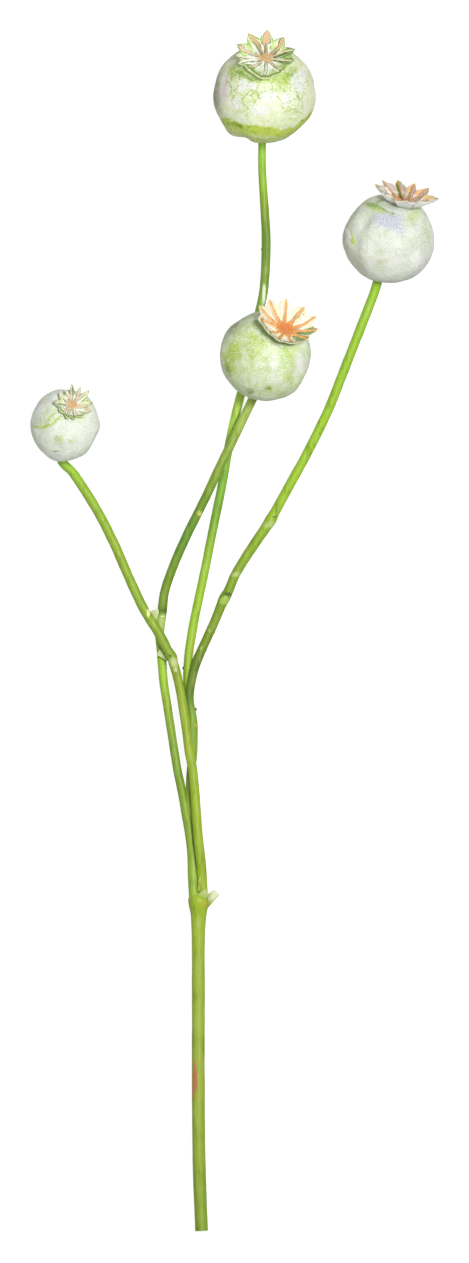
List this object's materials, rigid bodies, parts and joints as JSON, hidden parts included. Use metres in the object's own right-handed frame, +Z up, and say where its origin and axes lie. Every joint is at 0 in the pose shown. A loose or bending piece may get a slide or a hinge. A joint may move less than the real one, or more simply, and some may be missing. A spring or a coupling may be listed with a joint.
{
  "type": "poppy seed head",
  "caption": "Cut, branched poppy stem lying flat, with a waxy round seed capsule and a lobed stigma crown at the end of each branch.",
  "frame": {"origin": "centre of the underside of the bounding box, on the surface that the spray lies on", "axes": "+Y from the cut end of the stalk towards the top head, +Z up from the surface the spray lies on, +X to the right as seen from above"},
  "size_m": [0.1718, 0.5056, 0.0493],
  "materials": {
    "stem": "satin",
    "capsule": "matte",
    "crown": "satin"
  },
  "bodies": {
    "root": {"stem": "stem", "capsule_top": "capsule", "capsule_right": "capsule", "capsule_centre": "capsule", "capsule_left": "capsule", "crown_top": "crown", "crown_right": "crown", "crown_centre": "crown", "crown_left": "crown"}
  },
  "joints": []
}
